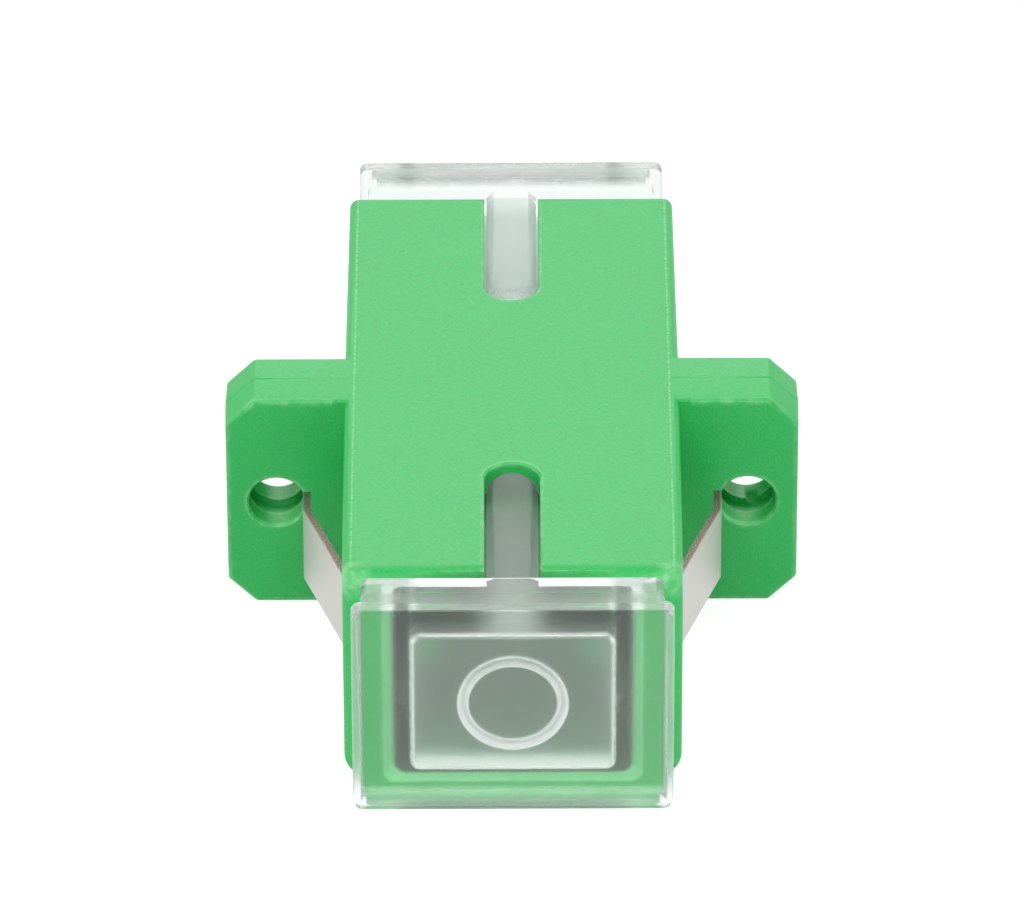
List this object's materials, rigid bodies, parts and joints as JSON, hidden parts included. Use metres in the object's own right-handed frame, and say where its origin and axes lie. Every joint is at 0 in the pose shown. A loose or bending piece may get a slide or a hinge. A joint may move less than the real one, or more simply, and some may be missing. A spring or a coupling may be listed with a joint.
{
  "type": "simplex fibre optic adapter",
  "caption": "Simplex fibre optic adapter: green welded body with a screw flange and keyed ports, a sprung panel clip and clear pull-out dust caps.",
  "frame": {"origin": "centre of the flange's front seating face, on the optical axis", "axes": "+X along the flange, -Y out of the front port on the clip's side, +Y out of the rear port, +Z towards the keyways"},
  "size_m": [0.022, 0.0319, 0.0094],
  "materials": {
    "green_plastic": "satin moulded",
    "frame_plastic": "satin moulded",
    "zirconia": "ground ceramic",
    "spring_steel": "rolled",
    "clear_plastic": "slightly frosted moulded"
  },
  "bodies": {
    "adapter": {"housing_front": "green_plastic", "housing_rear": "green_plastic", "sleeve_holder_front": "frame_plastic", "sleeve_holder_rear": "frame_plastic", "alignment_sleeve": "zirconia", "panel_clip": "spring_steel"},
    "front_cap": {"dust_cap_front": "clear_plastic"},
    "rear_cap": {"dust_cap_rear": "clear_plastic"}
  },
  "joints": [
    {"name": "front_cap_pull", "type": "slide", "parent": "adapter", "child": "front_cap", "axis": [0, -1, 0], "range_m": [0, 0.012]},
    {"name": "rear_cap_pull", "type": "slide", "parent": "adapter", "child": "rear_cap", "axis": [0, 1, 0], "range_m": [-0.0004, 0.012]}
  ]
}
